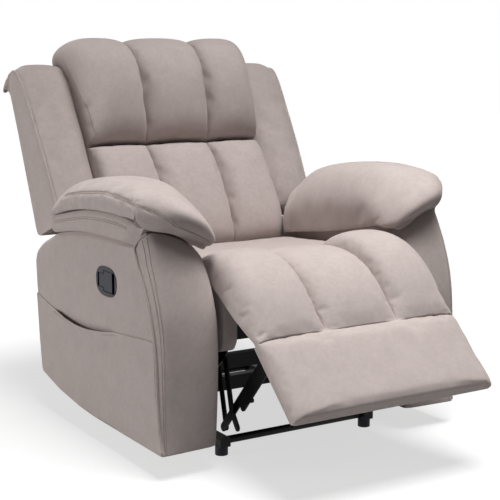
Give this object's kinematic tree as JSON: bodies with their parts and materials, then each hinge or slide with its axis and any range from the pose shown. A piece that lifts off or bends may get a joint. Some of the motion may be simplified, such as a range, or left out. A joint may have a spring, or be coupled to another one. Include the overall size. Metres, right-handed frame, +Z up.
{
  "type": "recliner armchair",
  "caption": "Padded recliner armchair with a winged reclining back, pillow arms, a lever-released leg rest on a scissor linkage and a side pocket.",
  "frame": {"origin": "centre of the chair's box on the floor", "axes": "+Z up, -Y the way the sitter faces, +X the sitter's left; leg rest half open and back upright at rest"},
  "size_m": [0.948, 1.3328, 1.075],
  "materials": {
    "upholstery": "soft brushed microfibre",
    "black_steel": "satin black powder coat",
    "bright_steel": "zinc plated",
    "black_plastic": "moulded, satin",
    "frame_wood": "plain sawn boards",
    "cable_sleeve": "smooth sleeve",
    "elastic_web": "woven elastic"
  },
  "bodies": {
    "base": {"glide_feet": "black_plastic", "base_rail_left": "black_steel", "base_rail_right": "black_steel", "front_base_bar": "black_steel", "rear_base_bar": "black_steel", "upper_cross_tube": "black_steel", "lower_cross_tube": "black_steel", "side_plate_left": "black_steel", "side_plate_right": "black_steel", "arm_spacers_left": "black_steel", "arm_spacers_right": "black_steel", "arm_cover_left": "upholstery", "arm_cover_right": "upholstery", "arm_frame_left": "frame_wood", "arm_frame_right": "frame_wood", "arm_band_left": "upholstery", "arm_band_right": "upholstery", "arm_pillow_left": "upholstery", "arm_pillow_right": "upholstery", "side_pocket": "upholstery", "lever_bezel": "black_plastic", "lever_pin": "bright_steel", "release_cable": "cable_sleeve", "latch_pivot": "bright_steel"},
    "lever": {"lever_paddle": "black_plastic"},
    "latch": {"latch": "black_steel"},
    "seat": {"seat_plate_left": "black_steel", "seat_plate_right": "black_steel", "seat_side_rail_left": "frame_wood", "seat_side_rail_right": "frame_wood", "seat_front_rail": "frame_wood", "seat_rear_rail": "frame_wood", "front_deck": "frame_wood", "seat_springs": "bright_steel", "seat_cushion": "upholstery", "seat_front_pad": "upholstery", "seat_corner_left": "upholstery", "seat_corner_right": "upholstery"},
    "back": {"back_frame": "frame_wood", "back_cover": "upholstery", "back_bracket_left": "black_steel", "back_bracket_right": "black_steel", "back_straps": "elastic_web", "lumbar_cushion": "upholstery", "head_cushion": "upholstery", "back_wing_left": "upholstery", "back_wing_right": "upholstery"},
    "leg_rest": {"leg_board": "frame_wood", "leg_pad": "upholstery", "leg_bracket_left": "black_steel", "leg_bracket_right": "black_steel"},
    "cross_links": {"cross_link_left": "black_steel", "cross_link_right": "black_steel"},
    "lift_links": {"lift_link_left": "black_steel", "lift_link_right": "black_steel"},
    "drive_links": {"drive_link_left": "black_steel", "drive_link_right": "black_steel"}
  },
  "joints": [
    {"name": "seat_slide", "type": "slide", "parent": "base", "child": "seat", "axis": [0, -0.9903, 0.1392], "range_m": [-0.003, 0.0205]},
    {"name": "back_recline", "type": "hinge", "parent": "seat", "child": "back", "pos_m": [0, 0.2864, 0.29], "axis": [-1, 0, 0], "range_deg": [-4, 32]},
    {"name": "leg_rest_lift", "type": "hinge", "parent": "seat", "child": "leg_rest", "pos_m": [0, -0.3936, 0.46], "axis": [-1, 0, 0], "range_deg": [-42, 42]},
    {"name": "cross_link_turn", "type": "hinge", "parent": "seat", "child": "cross_links", "pos_m": [0, -0.2436, 0.292], "axis": [-1, 0, 0], "range_deg": [-42, 42]},
    {"name": "lift_link_turn", "type": "hinge", "parent": "cross_links", "child": "lift_links", "pos_m": [0, -0.2826, 0.132], "axis": [-1, 0, 0], "range_deg": [-42, 42]},
    {"name": "drive_link_turn", "type": "hinge", "parent": "seat", "child": "drive_links", "pos_m": [0, -0.1916, 0.234], "axis": [-1, 0, 0], "range_deg": [-42, 42]},
    {"name": "lever_pull", "type": "hinge", "parent": "base", "child": "lever", "pos_m": [-0.4548, 0.0079, 0.448], "axis": [0, 0, -1], "range_deg": [0, 30], "stiffness_Nm_per_rad": 0.4},
    {"name": "latch_turn", "type": "hinge", "parent": "base", "child": "latch", "pos_m": [-0.255, 0.0164, 0.262], "axis": [-1, 0, 0], "range_deg": [0, 12]}
  ],
  "couplings": [
    {"joint": "seat_slide", "follows": "back_recline", "m_per_rad": 0.036},
    {"joint": "cross_link_turn", "follows": "leg_rest_lift", "ratio": 1},
    {"joint": "lift_link_turn", "follows": "leg_rest_lift", "ratio": -1},
    {"joint": "drive_link_turn", "follows": "leg_rest_lift", "ratio": 1},
    {"joint": "latch_turn", "follows": "lever_pull", "ratio": 0.4}
  ]
}
